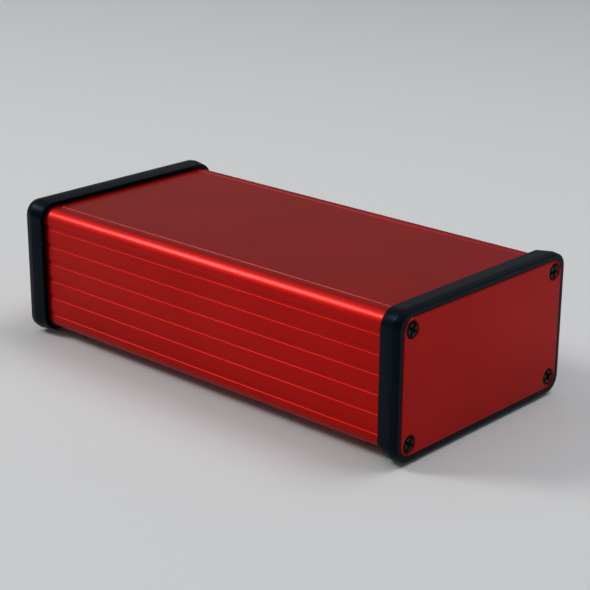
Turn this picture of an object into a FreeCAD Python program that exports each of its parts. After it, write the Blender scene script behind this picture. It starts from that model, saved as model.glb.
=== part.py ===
import FreeCAD, Part
import os

import Sketcher

# Extruded aluminium enclosure, millimetres, +X along the extrusion, +Z up, floor at Z = 0.
# Each piece is drawn about its own reference point and carried to its place by its Placement.

doc = FreeCAD.newDocument("enclosure")
sheet = doc.addObject("Spreadsheet::Sheet", "sizes")

driving_sizes = [
    # the extrusion
    ("body_length", 160),
    ("body_width", 78),
    ("body_height", 43),
    ("corner_radius", 4.3),
    ("side_wall", 1.5),
    ("floor_wall", 1.8),
    ("inner_radius", 3),
    # screw channels in the four corners
    ("screw_inset", 3.9),
    ("channel_bore", 3),
    ("channel_wall", 1.2),
    ("channel_mouth", 1.8),
    # rails that hold the cover
    ("seam_inset", 6.25),
    ("lip_thickness", 1),
    ("rail_depth", 0.95),
    ("ledge_reach", 1.4),
    ("ledge_thickness", 1.2),
    ("seam_bevel", 0.1),
    # grooves along both sides
    ("groove_count", 6),
    ("groove_pitch", 6.18),
    ("groove_width", 1.65),
    ("groove_bottom", 1.35),
    ("groove_depth", 0.2),
    # card guides on the inside of both sides
    ("guide_count", 4),
    ("guide_slot", 1.8),
    ("guide_rib", 1),
    ("guide_reach", 2),
    # the cover
    ("cover_thickness", 1.5),
    ("cover_gap", 0.15),
    ("tongue_thickness", 1),
    ("cover_edge", 1.7),
    # the moulded end frames
    ("bezel_sleeve", 5),
    ("bezel_wall", 1.5),
    ("bezel_flare", 0.45),
    ("bezel_squaring", 1),
    ("bezel_fit", 0.1),
    ("bezel_web", 1.3),
    ("bezel_slope_run", 2.4),
    ("bezel_slope_drop", 0.35),
    ("window_margin", 3),
    ("window_pad", 7.3),
    # the end panels
    ("panel_thickness", 1.5),
    ("panel_proud", 0.3),
    ("panel_fit", 0.1),
    ("panel_inset", 0.2),
    ("panel_edge_bevel", 0.25),
    # the screws
    ("screw_length", 12.7),
    ("screw_head", 6),
    ("screw_core", 2.8),
    ("screw_hole", 3.8),
    ("recess_span", 3.6),
    ("recess_wing", 0.95),
    ("recess_depth", 0.9),
    # the rubber feet
    ("foot_height", 3),
    ("foot_diameter", 11),
    ("foot_from_end", 15),
    ("foot_from_side", 12),
]

for row, (alias, value) in enumerate(driving_sizes, start=1):
    sheet.set(f"A{row}", alias)
    sheet.set(f"B{row}", str(value))
    sheet.setAlias(f"B{row}", alias)
doc.recompute()

aliases = [alias for alias, value in driving_sizes]


def size(expression):
    """The expression with every named size written as a cell of the sheet."""
    words = expression.replace("(", " ( ").replace(")", " ) ").split()
    return " ".join(f"sizes.{word}" if word in aliases else word for word in words)


def number(expression):
    return float(sheet.evalExpression(size(expression)))


def bind(item, name, expression):
    item.setExpression(name, size(expression))


# Places that several pieces share, as expressions of the driving sizes.
half_length = "body_length / 2"
half_width = "body_width / 2"
half_height = "body_height / 2"
section_centre = "foot_height + body_height / 2"
screw_y = "(body_width / 2 - screw_inset)"
screw_z = "(body_height / 2 - screw_inset)"
seam_y = "(body_width / 2 - seam_inset)"
rail_roof = "(body_height / 2 - lip_thickness)"
ledge_top = "(body_height / 2 - lip_thickness - tongue_thickness - cover_gap)"
bezel_rim = "(bezel_fit + bezel_wall)"
bezel_ridge = "(bezel_fit + bezel_wall + bezel_flare)"
bezel_front = "(bezel_web + panel_thickness - panel_proud)"
panel_y = "(body_width / 2 - panel_inset)"
panel_z = "(body_height / 2 - panel_inset)"
panel_radius = "(corner_radius - panel_inset)"


def new_body(label, x="0", y="0", z="0", turn=None):
    body = doc.addObject("PartDesign::Body", label)
    body.Label = label
    if turn:
        body.Placement = FreeCAD.Placement(FreeCAD.Vector(), turn)
    bind(body, "Placement.Base.x", x)
    bind(body, "Placement.Base.y", y)
    bind(body, "Placement.Base.z", z)
    return body


def origin_item(body, role):
    return next(item for item in body.Origin.OriginFeatures if item.Role == role)


def new_sketch(body, name, plane, offset="0"):
    sketch = body.newObject("Sketcher::SketchObject", name)
    sketch.AttachmentSupport = (origin_item(body, plane), [""])
    sketch.MapMode = "FlatFace"
    bind(sketch, "AttachmentOffset.Base.z", offset)
    return sketch


def place_point(sketch, item, point, x, y):
    """Ties one point of a sketch to its X and Y from the sketch's origin."""
    for kind, expression in (("DistanceX", x), ("DistanceY", y)):
        rule = sketch.addConstraint(Sketcher.Constraint(kind, -1, 1, item, point, number(expression)))
        bind(sketch, f"Constraints[{rule}]", expression)


def sign(value):
    return (value > 0) - (value < 0)


def direction(start, end):
    return FreeCAD.Vector(sign(round(end.x - start.x, 6)), sign(round(end.y - start.y, 6)), 0)


def outline(sketch, corners):
    """A closed outline. A corner is (x, y), or (x, y, radius) between runs along the axes."""
    spots = [FreeCAD.Vector(number(corner[0]), number(corner[1]), 0) for corner in corners]
    radii = [number(corner[2]) if len(corner) > 2 else 0 for corner in corners]
    lines = []
    for index, spot in enumerate(spots):
        following = (index + 1) % len(spots)
        along = direction(spot, spots[following])
        start = spot + along * radii[index]
        end = spots[following] - along * radii[following]
        lines.append(sketch.addGeometry(Part.LineSegment(start, end), False))
    for index, corner in enumerate(corners):
        before = lines[index - 1]
        after = lines[index]
        if len(corner) == 2:
            sketch.addConstraint(Sketcher.Constraint("Coincident", before, 2, after, 1))
            place_point(sketch, after, 1, corner[0], corner[1])
        else:
            arriving = direction(spots[index - 1], spots[index])
            leaving = direction(spots[index], spots[(index + 1) % len(spots)])
            round_corner(sketch, corner, spots[index], arriving, leaving, before, after)


def round_corner(sketch, corner, spot, arriving, leaving, before, after):
    """A tangent arc between two lines of an outline that meet at right angles."""
    x, y, radius = corner
    reach = number(radius)
    inward = leaving - arriving
    centre = spot + inward * reach
    middle = centre - inward * (reach / inward.Length)
    arc = sketch.addGeometry(Part.Arc(spot - arriving * reach, middle, spot + leaving * reach), False)
    turns_left = arriving.x * leaving.y - arriving.y * leaving.x > 0
    first, last = (1, 2) if turns_left else (2, 1)
    sketch.addConstraint(Sketcher.Constraint("Tangent", before, 2, arc, first))
    sketch.addConstraint(Sketcher.Constraint("Tangent", arc, last, after, 1))
    rule = sketch.addConstraint(Sketcher.Constraint("Radius", arc, reach))
    bind(sketch, f"Constraints[{rule}]", radius)
    place_point(sketch, arc, 3, f"{x} + {int(inward.x)} * ({radius})", f"{y} + {int(inward.y)} * ({radius})")


def rounded_rectangle(sketch, half_x, half_y, radius):
    outline(sketch, [
        (f"0 - {half_x}", f"0 - {half_y}", radius),
        (half_x, f"0 - {half_y}", radius),
        (half_x, half_y, radius),
        (f"0 - {half_x}", half_y, radius),
    ])


def rectangle(sketch, left, bottom, right, top):
    outline(sketch, [(left, bottom), (right, bottom), (right, top), (left, top)])


def circle(sketch, x, y, diameter):
    centre = FreeCAD.Vector(number(x), number(y), 0)
    item = sketch.addGeometry(Part.Circle(centre, FreeCAD.Vector(0, 0, 1), number(diameter) / 2), False)
    rule = sketch.addConstraint(Sketcher.Constraint("Diameter", item, number(diameter)))
    bind(sketch, f"Constraints[{rule}]", diameter)
    place_point(sketch, item, 3, x, y)


def prism(body, kind, name, sketch, length, both_ways=False, reverse=False):
    """Pad or Pocket of a sketch, over a length or evenly to both sides of its plane."""
    feature = body.newObject(f"PartDesign::{kind}", name)
    feature.Profile = sketch
    feature.SideType = "Symmetric" if both_ways else "One side"
    feature.Reversed = reverse
    bind(feature, "Length", length)
    sketch.Visibility = False
    body.Tip = feature
    doc.recompute()
    return feature


def edge_names(feature, wanted):
    return [f"Edge{index}" for index, edge in enumerate(feature.Shape.Edges, start=1) if wanted(edge)]


def repeat_upwards(body, feature, name, count, pitch):
    """Copies of a feature along the body's Z axis."""
    pattern = body.newObject("PartDesign::LinearPattern", name)
    pattern.Originals = [feature]
    pattern.Direction = (origin_item(body, "Z_Axis"), [""])
    pattern.Mode = "Spacing"
    bind(pattern, "Offset", pitch)
    bind(pattern, "Occurrences", count)
    body.Tip = pattern
    doc.recompute()
    return pattern


def mirrored_sides(points):
    """The points of an outline on the +Y side, then the same points on the -Y side, in order."""
    other_side = [(f"0 - ( {y} )",) + tuple(rest) for y, *rest in reversed(points)]
    return points + other_side


def make_extruded_body():
    body = new_body("extruded_body", z=section_centre)
    section = new_sketch(body, "outer_section", "YZ_Plane")
    rounded_rectangle(section, half_width, half_height, "corner_radius")
    prism(body, "Pad", "outer_form", section, "body_length", both_ways=True)

    # The hollow, open at the top between the lips, with a ledge under each lip.
    inner_y = "(body_width / 2 - side_wall)"
    floor_z = "(0 - body_height / 2 + floor_wall)"
    ledge_y = "(body_width / 2 - seam_inset - ledge_reach)"
    hollow = new_sketch(body, "hollow_section", "YZ_Plane")
    outline(hollow, mirrored_sides([
        (inner_y, floor_z, "inner_radius"),
        (inner_y, f"{ledge_top} - ledge_thickness"),
        (ledge_y, f"{ledge_top} - ledge_thickness"),
        (ledge_y, ledge_top),
        (seam_y, ledge_top),
        (seam_y, f"{half_height} - seam_bevel"),
        (f"{seam_y} + seam_bevel", half_height),
    ]))
    prism(body, "Pocket", "hollow", hollow, "body_length", both_ways=True)

    # Channels for the screws, each open to the hollow through a narrow mouth.
    walls = new_sketch(body, "channel_walls", "YZ_Plane")
    bores = new_sketch(body, "channel_bores", "YZ_Plane")
    mouths = new_sketch(body, "channel_mouths", "YZ_Plane")
    for side_y in (1, -1):
        for side_z in (1, -1):
            y = f"{side_y} * {screw_y}"
            z = f"{side_z} * {screw_z}"
            circle(walls, y, z, "channel_bore + 2 * channel_wall")
            circle(bores, y, z, "channel_bore")
            rectangle(mouths, f"{y} - channel_mouth / 2", f"{z} - {side_z} * (channel_bore / 2 + 2 * channel_wall)",
                      f"{y} + channel_mouth / 2", z)
    prism(body, "Pad", "channels", walls, "body_length", both_ways=True)
    prism(body, "Pocket", "channel_holes", bores, "body_length", both_ways=True)
    prism(body, "Pocket", "channel_slits", mouths, "body_length", both_ways=True)

    # The slots that the cover slides in, between the ledges and the lips.
    rails = new_sketch(body, "rail_slots", "YZ_Plane")
    for side_y in (1, -1):
        rectangle(rails, f"{side_y} * {ledge_y}", ledge_top, f"{side_y} * ({seam_y} + rail_depth)", rail_roof)
    prism(body, "Pocket", "rails", rails, "body_length", both_ways=True)

    # The lowest card guide on both sides, then its copies above it.
    lowest_guide = "(0 - groove_pitch * (guide_count - 1) / 2)"
    rib_tip = "(body_width / 2 - side_wall - guide_reach)"
    guide = new_sketch(body, "guide_section", "YZ_Plane")
    for side_y in (1, -1):
        for side_z in (1, -1):
            near = f"{lowest_guide} + {side_z} * guide_slot / 2"
            far = f"{lowest_guide} + {side_z} * (guide_slot / 2 + guide_rib)"
            rectangle(guide, f"{side_y} * {rib_tip}", near, f"{side_y} * (body_width / 2 - side_wall / 2)", far)
    guide_pad = prism(body, "Pad", "guide", guide, "body_length", both_ways=True)
    repeat_upwards(body, guide_pad, "guides", "guide_count", "groove_pitch")

    # The lowest groove on both sides, then its copies above it.
    lowest_groove = "(0 - groove_pitch * (groove_count - 1) / 2)"
    groove = new_sketch(body, "groove_section", "YZ_Plane")
    for side_y in (1, -1):
        outline(groove, [
            (f"{side_y} * body_width / 2", f"{lowest_groove} - groove_width / 2"),
            (f"{side_y} * (body_width / 2 - groove_depth)", f"{lowest_groove} - groove_bottom / 2"),
            (f"{side_y} * (body_width / 2 - groove_depth)", f"{lowest_groove} + groove_bottom / 2"),
            (f"{side_y} * body_width / 2", f"{lowest_groove} + groove_width / 2"),
        ])
    groove_cut = prism(body, "Pocket", "groove", groove, "body_length", both_ways=True)
    repeat_upwards(body, groove_cut, "grooves", "groove_count", "groove_pitch")
    return body


def make_slide_cover():
    body = new_body("slide_cover", z=section_centre)
    top_y = f"({seam_y} - cover_gap)"
    tongue_y = f"({seam_y} + rail_depth - cover_gap)"
    tongue_top = f"({ledge_top} + tongue_thickness)"
    inner_y = f"({seam_y} - cover_edge)"
    underside = "(body_height / 2 - cover_thickness)"
    section = new_sketch(body, "cover_section", "YZ_Plane")
    outline(section, mirrored_sides([
        (inner_y, underside),
        (inner_y, ledge_top),
        (tongue_y, ledge_top),
        (tongue_y, tongue_top),
        (top_y, tongue_top),
        (top_y, f"{half_height} - seam_bevel"),
        (f"{top_y} - seam_bevel", half_height),
    ]))
    prism(body, "Pad", "cover_form", section, "body_length", both_ways=True)
    return body


def end_placement(side, reach):
    """Placement of an end piece drawn for the +X end: as drawn, or turned half round for the -X end."""
    turn = FreeCAD.Rotation(FreeCAD.Vector(0, 0, 1), 0 if side > 0 else 180)
    return {"x": f"{side} * ({reach})", "z": section_centre, "turn": turn}


def screw_circles(sketch, diameter):
    for side_y in (1, -1):
        for side_z in (1, -1):
            circle(sketch, f"{side_y} * {screw_y}", f"{side_z} * {screw_z}", diameter)


def make_bezel(label, side):
    # X = 0 is the end face of the extrusion, +X points out of the box.
    body = new_body(label, **end_placement(side, half_length))

    # From its rim the outside widens to a ridge, then slopes in to the front that frames the panel.
    # The rim follows the corners of the extrusion, the ridge and the front have squarer ones.
    stations = [
        ("rim", "0 - bezel_sleeve", bezel_rim, "0"),
        ("ridge", f"{bezel_front} - bezel_slope_run", bezel_ridge, "bezel_squaring"),
        ("front", bezel_front, f"({bezel_ridge} - bezel_slope_drop)", "bezel_squaring"),
    ]
    sections = []
    for name, x, proud, squaring in stations:
        section = new_sketch(body, f"{name}_section", "YZ_Plane", x)
        rounded_rectangle(section, f"(body_width / 2 + {proud})", f"(body_height / 2 + {proud})",
                          f"(corner_radius + {proud} - {squaring})")
        sections.append(section)
    outside = body.newObject("PartDesign::AdditiveLoft", "outside")
    outside.Profile = sections[0]
    outside.Sections = sections[1:]
    outside.Ruled = True
    for section in sections:
        section.Visibility = False
    body.Tip = outside
    doc.recompute()

    # The sleeve takes the end of the extrusion, the recess takes the panel, a thin web stands between them.
    seat = new_sketch(body, "sleeve_seat", "YZ_Plane", "0 - bezel_sleeve")
    rounded_rectangle(seat, "(body_width / 2 + bezel_fit)", "(body_height / 2 + bezel_fit)",
                      "(corner_radius + bezel_fit)")
    prism(body, "Pocket", "sleeve_hollow", seat, "bezel_sleeve", reverse=True)
    recess = new_sketch(body, "recess_section", "YZ_Plane", "bezel_web")
    rounded_rectangle(recess, f"({panel_y} + panel_fit)", f"({panel_z} + panel_fit)",
                      f"({panel_radius} + panel_fit)")
    prism(body, "Pocket", "panel_recess", recess, f"{bezel_front} - bezel_web", reverse=True)

    # The window keeps the card guides clear and leaves a pad round each screw.
    wide_y = "(body_width / 2 - window_margin)"
    narrow_y = "(body_width / 2 - window_pad)"
    wide_z = "(body_height / 2 - window_margin)"
    narrow_z = "(body_height / 2 - window_pad)"
    window = new_sketch(body, "window_section", "YZ_Plane")
    outline(window, mirrored_sides([
        (narrow_y, f"0 - {wide_z}"),
        (narrow_y, f"0 - {narrow_z}"),
        (wide_y, f"0 - {narrow_z}"),
        (wide_y, narrow_z),
        (narrow_y, narrow_z),
        (narrow_y, wide_z),
    ]))
    prism(body, "Pocket", "window", window, "bezel_web", reverse=True)
    holes = new_sketch(body, "screw_hole_section", "YZ_Plane")
    screw_circles(holes, "screw_hole")
    prism(body, "Pocket", "screw_holes", holes, "bezel_web", reverse=True)
    return body


def make_panel(label, side):
    # X = 0 is the back of the panel, which rests on the web of the bezel.
    body = new_body(label, **end_placement(side, f"{half_length} + bezel_web"))
    section = new_sketch(body, "panel_section", "YZ_Plane")
    rounded_rectangle(section, panel_y, panel_z, panel_radius)
    plate = prism(body, "Pad", "panel_form", section, "panel_thickness")

    face_x = number("panel_thickness")
    edge_bevel = body.newObject("PartDesign::Chamfer", "face_edge")
    edge_bevel.Base = (plate, edge_names(plate, lambda edge: lies_at(edge, face_x)))
    bind(edge_bevel, "Size", "panel_edge_bevel")
    body.Tip = edge_bevel
    doc.recompute()

    holes = new_sketch(body, "screw_hole_section", "YZ_Plane")
    screw_circles(holes, "screw_hole")
    drilled = prism(body, "Pocket", "screw_holes", holes, "panel_thickness", reverse=True)
    countersink = body.newObject("PartDesign::Chamfer", "countersinks")
    countersink.Base = (drilled, edge_names(drilled, lambda edge: lies_at(edge, face_x) and is_hole(edge)))
    bind(countersink, "Size", "(screw_head - screw_hole) / 2")
    body.Tip = countersink
    doc.recompute()
    return body


def lies_at(edge, x):
    box = edge.BoundBox
    return abs(box.XMin - x) < 0.001 and abs(box.XMax - x) < 0.001


def is_hole(edge):
    return edge.Curve.TypeId == "Part::GeomCircle" and edge.isClosed()


def cross_corners(span, wing):
    """A cross-shaped outline, from the end of one wing round to the next."""
    far = f"({span} / 2)"
    near = f"({wing} / 2)"
    quarter = [(far, near), (near, near), (near, far)]
    turned_once = [(f"0 - {y}", x) for x, y in quarter]
    turned_twice = [(f"0 - {x}", f"0 - {y}") for x, y in quarter]
    turned_thrice = [(y, f"0 - {x}") for x, y in quarter]
    return quarter + turned_once + turned_twice + turned_thrice


def make_screw(label, side, side_y, side_z):
    # Z = 0 is the face of the head, the shank runs down -Z.
    turn = FreeCAD.Rotation(FreeCAD.Vector(0, 1, 0), 90 if side > 0 else -90)
    body = new_body(label, f"{side} * ({half_length} + bezel_web + panel_thickness)",
                    f"{side_y} * {screw_y}", f"{section_centre} + {side_z} * {screw_z}", turn)
    profile = new_sketch(body, "screw_profile", "XZ_Plane")
    outline(profile, [
        ("0", "0"),
        ("(screw_head / 2)", "0"),
        ("(screw_core / 2)", "0 - (screw_head - screw_core) / 2"),
        ("(screw_core / 2)", "0 - screw_length"),
        ("0", "0 - screw_length"),
    ])
    turned = body.newObject("PartDesign::Revolution", "screw_form")
    turned.Profile = profile
    turned.ReferenceAxis = (profile, ["V_Axis"])
    turned.Angle = 360
    profile.Visibility = False
    body.Tip = turned
    doc.recompute()

    mouth = new_sketch(body, "recess_mouth", "XY_Plane")
    outline(mouth, cross_corners("recess_span", "recess_wing"))
    prism(body, "Pocket", "cross_recess", mouth, "recess_depth")
    return body


def make_foot(label, side_x, side_y):
    # Z = 0 is the underside, the top is stuck to the bottom of the extrusion.
    body = new_body(label, f"{side_x} * ({half_length} - foot_from_end)", f"{side_y} * ({half_width} - foot_from_side)")
    profile = new_sketch(body, "foot_profile", "XZ_Plane")
    outline(profile, [
        ("0", "0"),
        ("(foot_diameter / 2)", "0"),
        ("(foot_diameter / 2)", "foot_height"),
        ("0", "foot_height"),
    ])
    turned = body.newObject("PartDesign::Revolution", "foot_form")
    turned.Profile = profile
    turned.ReferenceAxis = (profile, ["V_Axis"])
    turned.Angle = 360
    profile.Visibility = False
    body.Tip = turned
    doc.recompute()
    return body


make_extruded_body()
make_slide_cover()
corners = [(-1, 1), (1, 1), (1, -1), (-1, -1)]
for end_name, side in (("right", 1), ("left", -1)):
    make_bezel(f"bezel_{end_name}", side)
    make_panel(f"panel_{end_name}", side)
    for place, (side_y, side_z) in enumerate(corners, start=1):
        make_screw(f"screw_{end_name}_{place}", side, side_y, side_z)
for place, (side_x, side_y) in enumerate(corners, start=1):
    make_foot(f"foot_{place}", side_x, side_y)
doc.recompute()

for item in doc.Objects:
    if "Invalid" in item.State or "Error" in item.State:
        raise RuntimeError(f"{item.Label} failed: {item.State}")
pieces = [item for item in doc.Objects if item.TypeId == "PartDesign::Body"]
for body in pieces:
    if body.Shape.isNull() or not body.Shape.isValid() or len(body.Shape.Solids) != 1:
        raise RuntimeError(f"{body.Label} isn't one valid solid")

os.makedirs("parts", exist_ok=True)
for body in pieces:
    box = body.Shape.BoundBox
    print(f"{body.Label}: {body.Shape.Volume:.1f} mm3, X {box.XMin:.2f} to {box.XMax:.2f}, "
          f"Y {box.YMin:.2f} to {box.YMax:.2f}, Z {box.ZMin:.2f} to {box.ZMax:.2f}")
    body.Shape.exportStep(f"parts/{body.Label}.step")
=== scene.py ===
from math import ceil, cos, pi, radians, sin

import bmesh
import bpy
from mathutils import Matrix, Vector


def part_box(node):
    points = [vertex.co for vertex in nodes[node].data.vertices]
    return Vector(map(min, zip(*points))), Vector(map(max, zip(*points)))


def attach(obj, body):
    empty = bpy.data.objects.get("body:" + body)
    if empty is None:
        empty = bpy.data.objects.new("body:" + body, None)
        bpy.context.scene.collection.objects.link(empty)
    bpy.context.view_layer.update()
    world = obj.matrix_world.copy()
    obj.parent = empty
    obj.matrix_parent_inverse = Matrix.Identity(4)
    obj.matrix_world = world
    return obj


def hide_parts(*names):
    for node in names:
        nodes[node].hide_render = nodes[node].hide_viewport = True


# Anodised instrument box with black end bezels. Metres, X along the extrusion, Z up.

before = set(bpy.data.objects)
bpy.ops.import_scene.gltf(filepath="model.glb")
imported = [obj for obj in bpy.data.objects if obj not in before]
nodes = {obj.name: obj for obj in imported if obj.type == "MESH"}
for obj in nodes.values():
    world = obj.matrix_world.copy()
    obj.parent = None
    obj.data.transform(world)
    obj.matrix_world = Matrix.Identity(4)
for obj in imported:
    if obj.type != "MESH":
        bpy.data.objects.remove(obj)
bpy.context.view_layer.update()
bodyLow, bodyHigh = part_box("extruded_body")
bodyMiddle = (bodyLow + bodyHigh) / 2
mm = 0.001


# Camera

camera = {
    "azimuth": 42.482,       # degrees round from the front
    "elevation": 19.523,
    "roll": 0.344,
    "distance": 0.53716,     # to the middle of the extrusion
    "right": 0.00402,        # how far the camera stands to the right of that line
    "up": -0.00109,
    "lens": 98.66,
    "sensor": 36,
    "clipStart": 0.01,
    "clipEnd": 50,
}


def placeCamera():
    turn = radians(camera["azimuth"])
    tilt = radians(camera["elevation"])
    roll = radians(camera["roll"])
    forward = Vector((-sin(turn) * cos(tilt), cos(turn) * cos(tilt), -sin(tilt)))
    level = Vector((cos(turn), sin(turn), 0))
    above = level.cross(forward)
    right = level * cos(roll) + above * sin(roll)
    up = above * cos(roll) - level * sin(roll)
    data = bpy.data.cameras.new("photoCamera")
    data.lens = camera["lens"]
    data.sensor_width = camera["sensor"]
    data.clip_start = camera["clipStart"]
    data.clip_end = camera["clipEnd"]
    item = bpy.data.objects.new("photoCamera", data)
    bpy.context.scene.collection.objects.link(item)
    place = Matrix((right, up, -forward)).transposed().to_4x4()
    aside = right * camera["right"] + up * camera["up"]
    place.translation = bodyMiddle - forward * camera["distance"] + aside
    item.matrix_world = place
    bpy.context.scene.camera = item


placeCamera()
print("camera placed")


# Room: floor, world and lamps

room = {
    "floorSize": 6.0,
    "floorColour": (0.78, 0.785, 0.795),
    "floorTones": (0.98, 1.02),  # shares of that colour between which the floor drifts
    "floorClouds": 3,            # a metre
    "floorRoughness": 0.75,
    "floorSpecular": 0.2,
    "worldColour": (0.94, 0.98, 1.0),
    # light of the room by height: dark near the table, a pale band of wall above it, brightest overhead
    "levels": ((0.0, 0.06), (0.14, 0.1), (0.26, 0.38), (0.36, 0.4), (0.44, 0.1), (0.6, 0.14),
               (0.85, 0.55)),
    "backdropColour": (0.55, 0.58, 0.6),    # what the camera sees past the floor
}

lamps = {
    "keyLamp": {"from": (-0.6365, -0.42, 0.646), "distance": 1.8, "size": 0.6, "power": 11.0,
                "spread": 180, "colour": (1.0, 0.98, 0.96)},
    "topLamp": {"from": (0.3, 0.4, 1.0), "distance": 1.4, "size": 0.8, "power": 1.36,
                "spread": 90, "colour": (0.97, 0.99, 1.0)},
}


def makeFloor():
    half = room["floorSize"] / 2
    mesh = bpy.data.meshes.new("floor")
    corners = [(-half, -half, 0), (half, -half, 0), (half, half, 0), (-half, half, 0)]
    mesh.from_pydata(corners, [], [(0, 1, 2, 3)])
    floor = bpy.data.objects.new("floor", mesh)
    bpy.context.scene.collection.objects.link(floor)
    paint = bpy.data.materials.new("paleTable")
    paint.use_nodes = True
    nodeTree = paint.node_tree
    shader = nodeTree.nodes["Principled BSDF"]
    shader.inputs["Roughness"].default_value = room["floorRoughness"]
    shader.inputs["Specular IOR Level"].default_value = room["floorSpecular"]
    cloud = nodeTree.nodes.new("ShaderNodeTexNoise")
    cloud.inputs["Scale"].default_value = room["floorClouds"]
    tones = nodeTree.nodes.new("ShaderNodeValToRGB")
    for stop, share in zip(tones.color_ramp.elements, room["floorTones"]):
        stop.color = [part * share for part in room["floorColour"]] + [1]
    nodeTree.links.new(cloud.outputs["Fac"], tones.inputs["Fac"])
    nodeTree.links.new(tones.outputs["Color"], shader.inputs["Base Color"])
    mesh.materials.append(paint)


def makeWorld():
    world = bpy.data.worlds.new("softRoom")
    bpy.context.scene.world = world
    world.use_nodes = True
    nodeTree = world.node_tree
    nodeTree.nodes.clear()
    rays = nodeTree.nodes.new("ShaderNodeLightPath")
    soft = nodeTree.nodes.new("ShaderNodeBackground")
    soft.inputs["Color"].default_value = [*room["worldColour"], 1]
    place = nodeTree.nodes.new("ShaderNodeTexCoord")
    parts = nodeTree.nodes.new("ShaderNodeSeparateXYZ")
    level = nodeTree.nodes.new("ShaderNodeValToRGB")
    stops = level.color_ramp.elements
    stops.remove(stops[1])
    for index, (height, value) in enumerate(room["levels"]):
        stop = stops.new(height) if index else stops[0]
        stop.color = (value, value, value, 1)
    nodeTree.links.new(place.outputs["Generated"], parts.inputs["Vector"])
    nodeTree.links.new(parts.outputs["Z"], level.inputs["Fac"])
    nodeTree.links.new(level.outputs["Color"], soft.inputs["Strength"])
    seen = nodeTree.nodes.new("ShaderNodeBackground")
    seen.inputs["Color"].default_value = [*room["backdropColour"], 1]
    either = nodeTree.nodes.new("ShaderNodeMixShader")
    output = nodeTree.nodes.new("ShaderNodeOutputWorld")
    nodeTree.links.new(rays.outputs["Is Camera Ray"], either.inputs["Fac"])
    nodeTree.links.new(soft.outputs["Background"], either.inputs[1])
    nodeTree.links.new(seen.outputs["Background"], either.inputs[2])
    nodeTree.links.new(either.outputs["Shader"], output.inputs["Surface"])


def makeLamps():
    for name, lamp in lamps.items():
        data = bpy.data.lights.new(name, "AREA")
        data.shape = "DISK"
        data.size = lamp["size"]
        data.energy = lamp["power"]
        data.spread = radians(lamp["spread"])
        data.color = lamp["colour"]
        item = bpy.data.objects.new(name, data)
        bpy.context.scene.collection.objects.link(item)
        towards = Vector(lamp["from"]).normalized()
        item.location = bodyMiddle + towards * lamp["distance"]
        item.rotation_mode = "QUATERNION"
        item.rotation_quaternion = towards.to_track_quat("Z", "Y")


makeFloor()
makeWorld()
makeLamps()
bpy.context.scene.view_settings.view_transform = "Standard"
print("floor, world and lamps placed")


# Finishes

def newFinish(name):
    finish = bpy.data.materials.new(name)
    finish.use_nodes = True
    shader = finish.node_tree.nodes["Principled BSDF"]
    return finish, finish.node_tree, shader


# Noise in the object's own metres, stretched along an axis where its factor is small
def noiseAt(nodeTree, scale, stretch=(1, 1, 1), detail=2):
    place = nodeTree.nodes.new("ShaderNodeTexCoord")
    sized = nodeTree.nodes.new("ShaderNodeMapping")
    sized.inputs["Scale"].default_value = stretch
    noise = nodeTree.nodes.new("ShaderNodeTexNoise")
    noise.inputs["Scale"].default_value = scale
    noise.inputs["Detail"].default_value = detail
    nodeTree.links.new(place.outputs["Object"], sized.inputs["Vector"])
    nodeTree.links.new(sized.outputs["Vector"], noise.inputs["Vector"])
    return noise


noiseRange = (0.3, 0.7)    # where nearly all values of a noise lie


# A noise value, spread between two values
def spread(nodeTree, source, low, high):
    ranged = nodeTree.nodes.new("ShaderNodeMapRange")
    ranged.inputs["From Min"].default_value = noiseRange[0]
    ranged.inputs["From Max"].default_value = noiseRange[1]
    ranged.inputs["To Min"].default_value = low
    ranged.inputs["To Max"].default_value = high
    nodeTree.links.new(source, ranged.inputs["Value"])
    return ranged.outputs["Result"]


# A colour between two, by a noise value
def tint(nodeTree, source, dark, light):
    ramp = nodeTree.nodes.new("ShaderNodeValToRGB")
    for stop, position, colour in zip(ramp.color_ramp.elements, noiseRange, (dark, light)):
        stop.position = position
        stop.color = [*colour, 1]
    nodeTree.links.new(source, ramp.inputs["Fac"])
    return ramp.outputs["Color"]


def bumpFrom(nodeTree, source, height, before=None):
    bump = nodeTree.nodes.new("ShaderNodeBump")
    bump.inputs["Strength"].default_value = 1
    bump.inputs["Distance"].default_value = height
    nodeTree.links.new(source, bump.inputs["Height"])
    if before:
        nodeTree.links.new(before, bump.inputs["Normal"])
    return bump.outputs["Normal"]


# How far a face looks upwards where a rounded edge begins and ends: 0 for upright faces, 1 for level ones
rounding = {
    "upright": 0.04,
    "fullFrom": 0.3,
    "fullTo": 0.92,
    "level": 0.995,
}


# A value that is higher on rounded edges that face upwards than on flat faces; it paints a whiter sheen
# where the light from above falls
def byRounding(nodeTree, onFlats, onEdges):
    facing = nodeTree.nodes.new("ShaderNodeNewGeometry")
    parts = nodeTree.nodes.new("ShaderNodeSeparateXYZ")
    ramp = nodeTree.nodes.new("ShaderNodeValToRGB")
    stops = ramp.color_ramp.elements
    for outer in stops:
        outer.color = (onFlats, onFlats, onFlats, 1)
    reached = {"upright": onFlats, "fullFrom": onEdges, "fullTo": onEdges, "level": onFlats}
    for place, value in reached.items():
        stop = stops.new(rounding[place])
        stop.color = (value, value, value, 1)
    nodeTree.links.new(facing.outputs["Normal"], parts.inputs["Vector"])
    nodeTree.links.new(parts.outputs["Z"], ramp.inputs["Fac"])
    return ramp.outputs["Color"]


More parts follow.
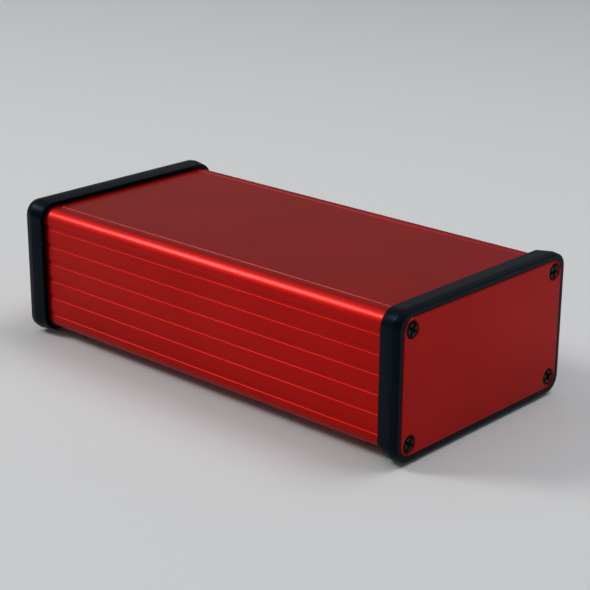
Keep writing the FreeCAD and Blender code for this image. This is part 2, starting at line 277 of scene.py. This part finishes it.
anodised = {
    "dark": (0.49, 0.0042, 0.0016),
    "light": (0.54, 0.0064, 0.0032),
    "metallic": 0.9,
    "specular": 0.1,
    "roughness": 0.45,
    "roughnessSpread": 0.03,
    "coatOnFlats": 0.3,
    "sheenCoatOnEdges": 1.0,          # painted sheen: more coat on upward-facing rounded edges whitens the highlight they catch
    "coatRoughness": 0.21,
    "coatIndex": 1.22,
    "glancing": (0.3, 0.82, 0.82),    # tint of what the metal reflects at a flat angle
    "cloudSize": 30,             # slow drift of the dye, per metre
    "grainSize": 9000,           # fine etched grain
    "grainHeight": 0.000002,
    "lineSize": 2500,            # lines left by the extrusion die
    "lineHeight": 0.0000015,
    "edgeSoftness": 0.25 * mm,   # how far the edges of grooves and bevels are rounded by etching
    "edgeSamples": 4,
}

drawnAlong = {"lines": (0.01, 1, 1), "lineAxis": "X", "brushed": 0.6}     # the extrusion and its cover
rolledAcross = {"lines": (1, 0.03, 1), "lineAxis": "Y", "brushed": 0.2}   # the sheet of the end panels


# Dyed and sealed aluminium: fine etched grain, and faint lines along the way it was drawn or rolled
def makeAnodised(name, worked):
    finish, nodeTree, shader = newFinish(name)
    cloud = noiseAt(nodeTree, anodised["cloudSize"])
    grain = noiseAt(nodeTree, anodised["grainSize"])
    drawn = noiseAt(nodeTree, anodised["lineSize"], stretch=worked["lines"])
    colour = tint(nodeTree, cloud.outputs["Fac"], anodised["dark"], anodised["light"])
    middle = anodised["roughness"]
    swing = anodised["roughnessSpread"]
    rough = spread(nodeTree, drawn.outputs["Fac"], middle - swing, middle + swing)
    edges = nodeTree.nodes.new("ShaderNodeBevel")
    edges.samples = anodised["edgeSamples"]
    edges.inputs["Radius"].default_value = anodised["edgeSoftness"]
    lined = bumpFrom(nodeTree, drawn.outputs["Fac"], anodised["lineHeight"], edges.outputs["Normal"])
    grained = bumpFrom(nodeTree, grain.outputs["Fac"], anodised["grainHeight"], lined)
    nodeTree.links.new(colour, shader.inputs["Base Color"])
    nodeTree.links.new(rough, shader.inputs["Roughness"])
    nodeTree.links.new(grained, shader.inputs["Normal"])
    across = nodeTree.nodes.new("ShaderNodeTangent")
    across.direction_type = "RADIAL"
    across.axis = worked["lineAxis"]
    nodeTree.links.new(across.outputs["Tangent"], shader.inputs["Tangent"])
    shader.inputs["Anisotropic"].default_value = worked["brushed"]    # a wide highlight across the lines
    shader.inputs["Metallic"].default_value = anodised["metallic"]
    # Painted sheen: the coat is stronger on rounded edges that face upwards, so the lamp's highlight there
    # comes out whiter
    nodeTree.links.new(byRounding(nodeTree, anodised["coatOnFlats"], anodised["sheenCoatOnEdges"]),
                       shader.inputs["Coat Weight"])
    shader.inputs["Coat Roughness"].default_value = anodised["coatRoughness"]
    shader.inputs["Coat IOR"].default_value = anodised["coatIndex"]
    shader.inputs["Specular IOR Level"].default_value = anodised["specular"]
    shader.inputs["Specular Tint"].default_value = [*anodised["glancing"], 1]
    return finish


# Colour from one noise, roughness and bump from another, by the values of a finish
def coverWith(nodeTree, shader, values, cloud, grain):
    colour = tint(nodeTree, cloud.outputs["Fac"], values["dark"], values["light"])
    middle = values["roughness"]
    swing = values["roughnessSpread"]
    rough = spread(nodeTree, grain.outputs["Fac"], middle - swing, middle + swing)
    rugged = bumpFrom(nodeTree, grain.outputs["Fac"], values["grainHeight"])
    nodeTree.links.new(colour, shader.inputs["Base Color"])
    nodeTree.links.new(rough, shader.inputs["Roughness"])
    nodeTree.links.new(rugged, shader.inputs["Normal"])


plastic = {
    "dark": (0.0004, 0.0014, 0.003),
    "light": (0.001, 0.0022, 0.004),
    "index": 1.22,
    "sheenTint": (0.25, 0.55, 1.0),    # the cool tone of what it reflects face on
    "roughness": 0.36,
    "roughnessSpread": 0.05,
    "cloudSize": 60,
    "grainSize": 5000,
    "grainHeight": 0.000006,
}


# Moulded satin plastic with a fine spark-eroded grain
def makePlastic():
    finish, nodeTree, shader = newFinish("mouldedBlack")
    cloud = noiseAt(nodeTree, plastic["cloudSize"])
    grain = noiseAt(nodeTree, plastic["grainSize"], detail=3)
    coverWith(nodeTree, shader, plastic, cloud, grain)
    shader.inputs["IOR"].default_value = plastic["index"]
    shader.inputs["Specular Tint"].default_value = [*plastic["sheenTint"], 1]
    return finish


steel = {
    "dark": (0.006, 0.0075, 0.009),
    "light": (0.018, 0.02, 0.022),
    "metallic": 0.3,
    "index": 1.3,
    "roughness": 0.34,
    "roughnessSpread": 0.08,
    "grainSize": 1500,
    "grainHeight": 0.000008,
}


# Black oxide on steel, a little worn to grey where the noise is high
def makeBlackSteel():
    finish, nodeTree, shader = newFinish("blackenedSteel")
    grain = noiseAt(nodeTree, steel["grainSize"], detail=4)
    coverWith(nodeTree, shader, steel, grain, grain)
    shader.inputs["Metallic"].default_value = steel["metallic"]
    shader.inputs["IOR"].default_value = steel["index"]
    return finish


rubber = {
    "dark": (0.008, 0.008, 0.008),
    "light": (0.016, 0.016, 0.015),
    "roughness": 0.8,
    "roughnessSpread": 0.1,
    "grainSize": 3000,
    "grainHeight": 0.00001,
}


def makeRubber():
    finish, nodeTree, shader = newFinish("softRubber")
    grain = noiseAt(nodeTree, rubber["grainSize"], detail=3)
    coverWith(nodeTree, shader, rubber, grain, grain)
    return finish


extrudedRed = makeAnodised("anodisedExtrusion", drawnAlong)
sheetRed = makeAnodised("anodisedSheet", rolledAcross)
mouldedBlack = makePlastic()
blackSteel = makeBlackSteel()
footRubber = makeRubber()
print("finishes made")


# Mesh helpers: every piece is skinned from loops of points

def newLoop(shape, points):
    return [shape.verts.new(point) for point in points]


# Quads between two loops with as many points
def skin(shape, first, second):
    for index in range(len(first)):
        following = (index + 1) % len(first)
        shape.faces.new((first[index], first[following], second[following], second[index]))


# A flat face inside a loop, round any holes in it
def fillFlat(shape, outer, holes=()):
    edges = []
    for loop in (outer, *holes):
        for index, vertex in enumerate(loop):
            pair = (vertex, loop[(index + 1) % len(loop)])
            edges.append(shape.edges.get(pair) or shape.edges.new(pair))
    bmesh.ops.triangle_fill(shape, use_beauty=True, use_dissolve=False, edges=edges)


def arcPoints(centre, radius, start, end, steps):
    angles = [start + (end - start) * step / steps for step in range(steps + 1)]
    return [(centre[0] + radius * cos(angle), centre[1] + radius * sin(angle)) for angle in angles]


# Points (y, z) round a rectangle with rounded corners, from the lower right corner, anticlockwise
def roundedLoop(halfWidth, halfHeight, radius, steps=12):
    points = []
    for turn, (sideY, sideZ) in enumerate(((1, -1), (1, 1), (-1, 1), (-1, -1))):
        centre = (sideY * (halfWidth - radius), sideZ * (halfHeight - radius))
        points += arcPoints(centre, radius, (turn - 1) * pi / 2, turn * pi / 2, steps)
    return points


def circleLoop(centreY, centreZ, radius, steps=40):
    angles = [2 * pi * step / steps for step in range(steps)]
    return [(centreY + radius * cos(angle), centreZ + radius * sin(angle)) for angle in angles]


# A path of corners, each rounded by the radius that stands last in it
def softened(path, steps=4):
    points = []
    for index, (*spot, radius) in enumerate(path):
        corner = Vector(spot)
        if radius == 0:
            points.append(tuple(corner))
            continue
        before = (Vector(path[index - 1][:-1]) - corner).normalized()
        after = (Vector(path[index + 1][:-1]) - corner).normalized()
        half = before.angle(after) / 2
        reach = radius / (sin(half) / cos(half))
        start = corner + before * reach
        end = corner + after * reach
        for step in range(steps + 1):
            share = step / steps
            bend = start * (1 - share) ** 2 + corner * 2 * share * (1 - share) + end * share ** 2
            points.append(tuple(bend))
    return points


sharpAngle = radians(32)    # edges that bend by more are shown sharp


def finishPiece(shape, name, paint, standsFor):
    bmesh.ops.recalc_face_normals(shape, faces=shape.faces)
    mesh = bpy.data.meshes.new(name)
    shape.to_mesh(mesh)
    shape.free()
    mesh.polygons.foreach_set("use_smooth", [True] * len(mesh.polygons))
    mesh.set_sharp_from_angle(angle=sharpAngle)
    mesh.materials.append(paint)
    piece = bpy.data.objects.new(name, mesh)
    bpy.context.scene.collection.objects.link(piece)
    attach(piece, "root")
    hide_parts(standsFor)
    return piece


ends = {"right": 1, "left": -1}


# A point drawn at an end of the extrusion: reach out of its end face, and (y, z) from its middle
def endPoint(side, reach, point):
    y, z = point
    return (side * (bodyHigh.x + reach), side * y, bodyMiddle.z + z)


bodyHalfWidth = (bodyHigh.y - bodyLow.y) / 2
bodyHalfHeight = (bodyHigh.z - bodyLow.z) / 2
bodyCorner = 4.3 * mm
screwLow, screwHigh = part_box("screw_right_2")
screwInsetY = (screwLow.y + screwHigh.y) / 2
screwInsetZ = (screwLow.z + screwHigh.z) / 2 - bodyMiddle.z
screwSpots = [(sideY * screwInsetY, sideZ * screwInsetZ) for sideY in (1, -1) for sideZ in (1, -1)]


# The outline of the extrusion, grown by an offset, with corners made tighter by a squaring
def outlineAt(offset, squaring=0):
    return roundedLoop(bodyHalfWidth + offset, bodyHalfHeight + offset, bodyCorner + offset - squaring)


# Bezels

bezel = {
    "fit": 0.1 * mm,             # play round the extrusion and round the panel
    "web": 1.3 * mm,             # wall between the extrusion and the panel
    "flare": 0.45 * mm,          # how much the outside widens from its rim to its ridge
    "slopeRun": 2.4 * mm,        # from the ridge to the front
    "slopeDrop": 0.35 * mm,
    "squaring": 1.0 * mm,        # how much tighter the corners are at the ridge than at the rim
    "ridgeRounding": 3.0 * mm,
    "rimRounding": 0.3 * mm,
    "frontRounding": 0.3 * mm,
    "innerRounding": 0.12 * mm,
    "windowMargin": 3.0 * mm,
    "windowPad": 7.3 * mm,
    "screwHole": 1.9 * mm,
}


# The opening in the web: a cross with wide arms, which leaves a pad round each screw
def windowLoop():
    wideY = bodyHalfWidth - bezel["windowMargin"]
    narrowY = bodyHalfWidth - bezel["windowPad"]
    wideZ = bodyHalfHeight - bezel["windowMargin"]
    narrowZ = bodyHalfHeight - bezel["windowPad"]
    half = [(narrowY, -wideZ), (narrowY, -narrowZ), (wideY, -narrowZ), (wideY, narrowZ),
            (narrowY, narrowZ), (narrowY, wideZ)]
    return half + [(-y, -z) for y, z in half]


def makeBezel(end, side):
    low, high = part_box(f"bezel_{end}")
    proud = high.y - bodyHalfWidth
    front = max(abs(low.x), abs(high.x)) - bodyHigh.x
    rear = min(abs(low.x), abs(high.x)) - bodyHigh.x
    panelEdge = panelOffset(end) + bezel["fit"]
    squaring = bezel["squaring"]
    path = softened([
        (0, bezel["fit"], 0, 0),
        (rear, bezel["fit"], 0, bezel["innerRounding"]),
        (rear, proud - bezel["flare"], 0, bezel["rimRounding"]),
        (front - bezel["slopeRun"], proud, squaring, bezel["ridgeRounding"]),
        (front, proud - bezel["slopeDrop"], squaring, bezel["frontRounding"]),
        (front, panelEdge, 0, bezel["innerRounding"]),
        (bezel["web"], panelEdge, 0, 0),
    ])
    shape = bmesh.new()
    rings = [newLoop(shape, [endPoint(side, reach, point) for point in outlineAt(*outward)])
             for reach, *outward in path]
    for ring, nextRing in zip(rings, rings[1:]):
        skin(shape, ring, nextRing)
    openings = [windowLoop()] + [circleLoop(y, z, bezel["screwHole"]) for y, z in screwSpots]
    rearHoles = [newLoop(shape, [endPoint(side, 0, point) for point in opening]) for opening in openings]
    frontHoles = [newLoop(shape, [endPoint(side, bezel["web"], point) for point in opening])
                  for opening in openings]
    for rearHole, frontHole in zip(rearHoles, frontHoles):
        skin(shape, rearHole, frontHole)
    fillFlat(shape, rings[0], rearHoles)
    fillFlat(shape, rings[-1], frontHoles)
    finishPiece(shape, f"mouldedBezel.{end}", mouldedBlack, f"bezel_{end}")


# Panels

panel = {
    "edgeBevel": 0.25 * mm,
    "edgeRounding": 0.1 * mm,
    "rearBevel": 0.1 * mm,
    "screwHole": 1.9 * mm,
    "sinkRounding": 0.04 * mm,
    "land": 3,                   # flat strip beside a rounded edge, in bevels or roundings
}


# How far the panel's edge lies outside the extrusion's outline: it's a little inside, so below zero
def panelOffset(end):
    low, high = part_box(f"panel_{end}")
    return (high.y - low.y) / 2 - bodyHalfWidth


def makePanel(end, side):
    low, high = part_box(f"panel_{end}")
    back = min(abs(low.x), abs(high.x)) - bodyHigh.x
    face = max(abs(low.x), abs(high.x)) - bodyHigh.x
    edge = panelOffset(end)
    bevel = panel["edgeBevel"]
    path = softened([
        (back, edge - panel["rearBevel"], 0),
        (back + panel["rearBevel"], edge, 0),
        (face - bevel, edge, panel["edgeRounding"]),
        (face, edge - bevel, panel["edgeRounding"]),
        (face, edge - panel["land"] * bevel, 0),
    ])
    shape = bmesh.new()
    rings = [newLoop(shape, [endPoint(side, reach, point) for point in outlineAt(offset)])
             for reach, offset in path]
    for ring, nextRing in zip(rings, rings[1:]):
        skin(shape, ring, nextRing)
    headRadius = (screwHigh.y - screwLow.y) / 2
    sinkDepth = headRadius - panel["screwHole"]
    sink = softened([
        (back, panel["screwHole"], 0),
        (face - sinkDepth, panel["screwHole"], 0),
        (face, headRadius, panel["sinkRounding"]),
        (face, headRadius + panel["land"] * panel["sinkRounding"], 0),
    ], steps=3)
    backHoles = []
    faceHoles = []
    for y, z in screwSpots:
        loops = [newLoop(shape, [endPoint(side, reach, point) for point in circleLoop(y, z, radius)])
                 for reach, radius in sink]
        for loop, nextLoop in zip(loops, loops[1:]):
            skin(shape, loop, nextLoop)
        backHoles.append(loops[0])
        faceHoles.append(loops[-1])
    fillFlat(shape, rings[0], backHoles)
    fillFlat(shape, rings[-1], faceHoles)
    finishPiece(shape, f"endPanel.{end}", sheetRed, f"panel_{end}")


# Screws

screw = {
    "headSink": 0.16 * mm,       # how far the head's face lies below the panel's face
    "rimRounding": 0.4 * mm,
    "recessSpan": 3.8 * mm,      # cross recess, tip to tip
    "recessWing": 1.1 * mm,
    "recessDepth": 1.5 * mm,
    "recessFloor": 0.55,         # size of the recess at its floor, as a share of its mouth
    "wingTip": 1.03,             # bulge of a wing's tip, as a share of its reach
    "innerCorner": 1.35,         # where a wing leaves the middle, in halves of its width
    "innerFill": 1.1,            # how far the corner between two wings is filled, in halves of their width
    "coreRadius": 1.3 * mm,
    "threadRadius": 1.75 * mm,
    "threadPitch": 1.27 * mm,
    "ridgeWidth": 0.5,           # of the thread, as a share of its pitch
    "tipLength": 2.5 * mm,
    "tipBlunt": 0.12,            # size of the tip's end, as a share of the core
    "threadStart": 2.4 * mm,     # below the head's face
    "neck": 1.02,                # core under the head, as a share of the core at the thread
    "flatFace": 0.8,             # of the head, as a share of its radius
    "turns": (17, 31, 10),       # degrees that a recess is turned: always, by place and by end
    "steps": 32,
    "stepsPerPitch": 8,
}


def turned(points, angle):
    return [(a * cos(angle) - b * sin(angle), a * sin(angle) + b * cos(angle)) for a, b in points]


# The outline of a cross recess, its wings and the rounded corners between them
def crossLoop(share):
    far = screw["recessSpan"] / 2 * share
    near = screw["recessWing"] / 2 * share
    inner = near * screw["innerCorner"]
    fill = near * screw["innerFill"]
    quarter = [(far, -near), (far * screw["wingTip"], 0), (far, near), (inner, near), (fill, fill),
               (near, inner)]
    points = []
    for turn in range(4):
        points += turned(quarter, turn * pi / 2)
    return points


def makeScrew(end, side, place):
    name = f"screw_{end}_{place}"
    low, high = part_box(name)
    middleY = (low.y + high.y) / 2
    middleZ = (low.z + high.z) / 2
    headRadius = (high.y - low.y) / 2
    faceX = max(abs(low.x), abs(high.x)) - screw["headSink"]
    length = high.x - low.x - screw["headSink"]
    always, byPlace, byEnd = screw["turns"]
    turnBy = radians(always + byPlace * place + byEnd * side)    # no two recesses lie alike

    # A point of the screw: depth below its face, a and b across it
    def at(depth, a, b):
        return (side * (faceX - depth), middleY + side * a, middleZ + b)

    shape = bmesh.new()
    head = softened([
        (0, headRadius * screw["flatFace"], 0),
        (0, headRadius, screw["rimRounding"]),
        (headRadius - screw["coreRadius"], screw["coreRadius"] * screw["neck"], 0),
        (screw["threadStart"], screw["coreRadius"], 0),
    ])
    rings = []
    for depth, radius in head:
        circle = circleLoop(0, 0, radius, screw["steps"])
        rings.append(newLoop(shape, [at(depth, *point) for point in circle]))

    # The thread: its ridge climbs one pitch a turn and fades out at both ends.
    pitch = screw["threadPitch"]
    threadLength = length - screw["threadStart"]
    count = ceil(threadLength / pitch * screw["stepsPerPitch"])
    height = screw["threadRadius"] - screw["coreRadius"]
    for row in range(1, count + 1):
        depth = screw["threadStart"] + threadLength * row / count
        toTip = length - depth
        taper = min(1, toTip / screw["tipLength"])
        fade = min(1, (depth - screw["threadStart"]) / pitch)
        core = screw["coreRadius"] * (screw["tipBlunt"] + (1 - screw["tipBlunt"]) * taper)
        points = []
        for step in range(screw["steps"]):
            share = step / screw["steps"]
            phase = (depth / pitch + share) % 1
            ridge = max(0, 1 - abs(phase - 0.5) / (screw["ridgeWidth"] / 2))
            radius = core + height * ridge * fade * taper
            points.append(at(depth, radius * cos(2 * pi * share), radius * sin(2 * pi * share)))
        rings.append(newLoop(shape, points))
    for ring, nextRing in zip(rings, rings[1:]):
        skin(shape, ring, nextRing)
    fillFlat(shape, rings[-1])

    mouthCross = turned(crossLoop(1), turnBy)
    floorCross = turned(crossLoop(screw["recessFloor"]), turnBy)
    mouth = newLoop(shape, [at(0, *point) for point in mouthCross])
    floor = newLoop(shape, [at(screw["recessDepth"], *point) for point in floorCross])
    skin(shape, mouth, floor)
    fillFlat(shape, rings[0], [mouth])
    fillFlat(shape, floor)
    finishPiece(shape, f"crossScrew.{end}.{place}", blackSteel, name)


# Feet

foot = {
    "edgeRounding": 0.9 * mm,
    "topRounding": 0.2 * mm,
    "draft": 0.5 * mm,           # how much narrower the underside is than the top
    "dishRadius": 3.2 * mm,
    "dishDepth": 0.3 * mm,
    "dishSlope": 2,              # run of the dish's side for each unit of its depth
    "dishRounding": 0.2 * mm,
    "topLand": 0.6,              # inner ring of the top, as a share of the radius
    "steps": 48,
}


def makeFoot(place):
    low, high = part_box(f"foot_{place}")
    middle = (low + high) / 2
    radius = (high.x - low.x) / 2
    path = softened([
        (foot["dishDepth"], foot["dishRadius"] - foot["dishDepth"] * foot["dishSlope"], 0),
        (0, foot["dishRadius"], foot["dishRounding"]),
        (0, radius - foot["draft"], foot["edgeRounding"]),
        (high.z, radius, foot["topRounding"]),
        (high.z, radius * foot["topLand"], 0),
    ], steps=5)
    shape = bmesh.new()
    rings = []
    for height, ringRadius in path:
        circle = circleLoop(middle.x, middle.y, ringRadius, foot["steps"])
        rings.append(newLoop(shape, [(x, y, height) for x, y in circle]))
    for ring, nextRing in zip(rings, rings[1:]):
        skin(shape, ring, nextRing)
    fillFlat(shape, rings[0])
    fillFlat(shape, rings[-1])
    finishPiece(shape, f"rubberFoot.{place}", footRubber, f"foot_{place}")


for end, side in ends.items():
    makeBezel(end, side)
    makePanel(end, side)
    for place in range(1, 5):
        makeScrew(end, side, place)
for place in range(1, 5):
    makeFoot(place)
for name in ("extruded_body", "slide_cover"):
    nodes[name].material_slots[0].material = extrudedRed
print("pieces made")
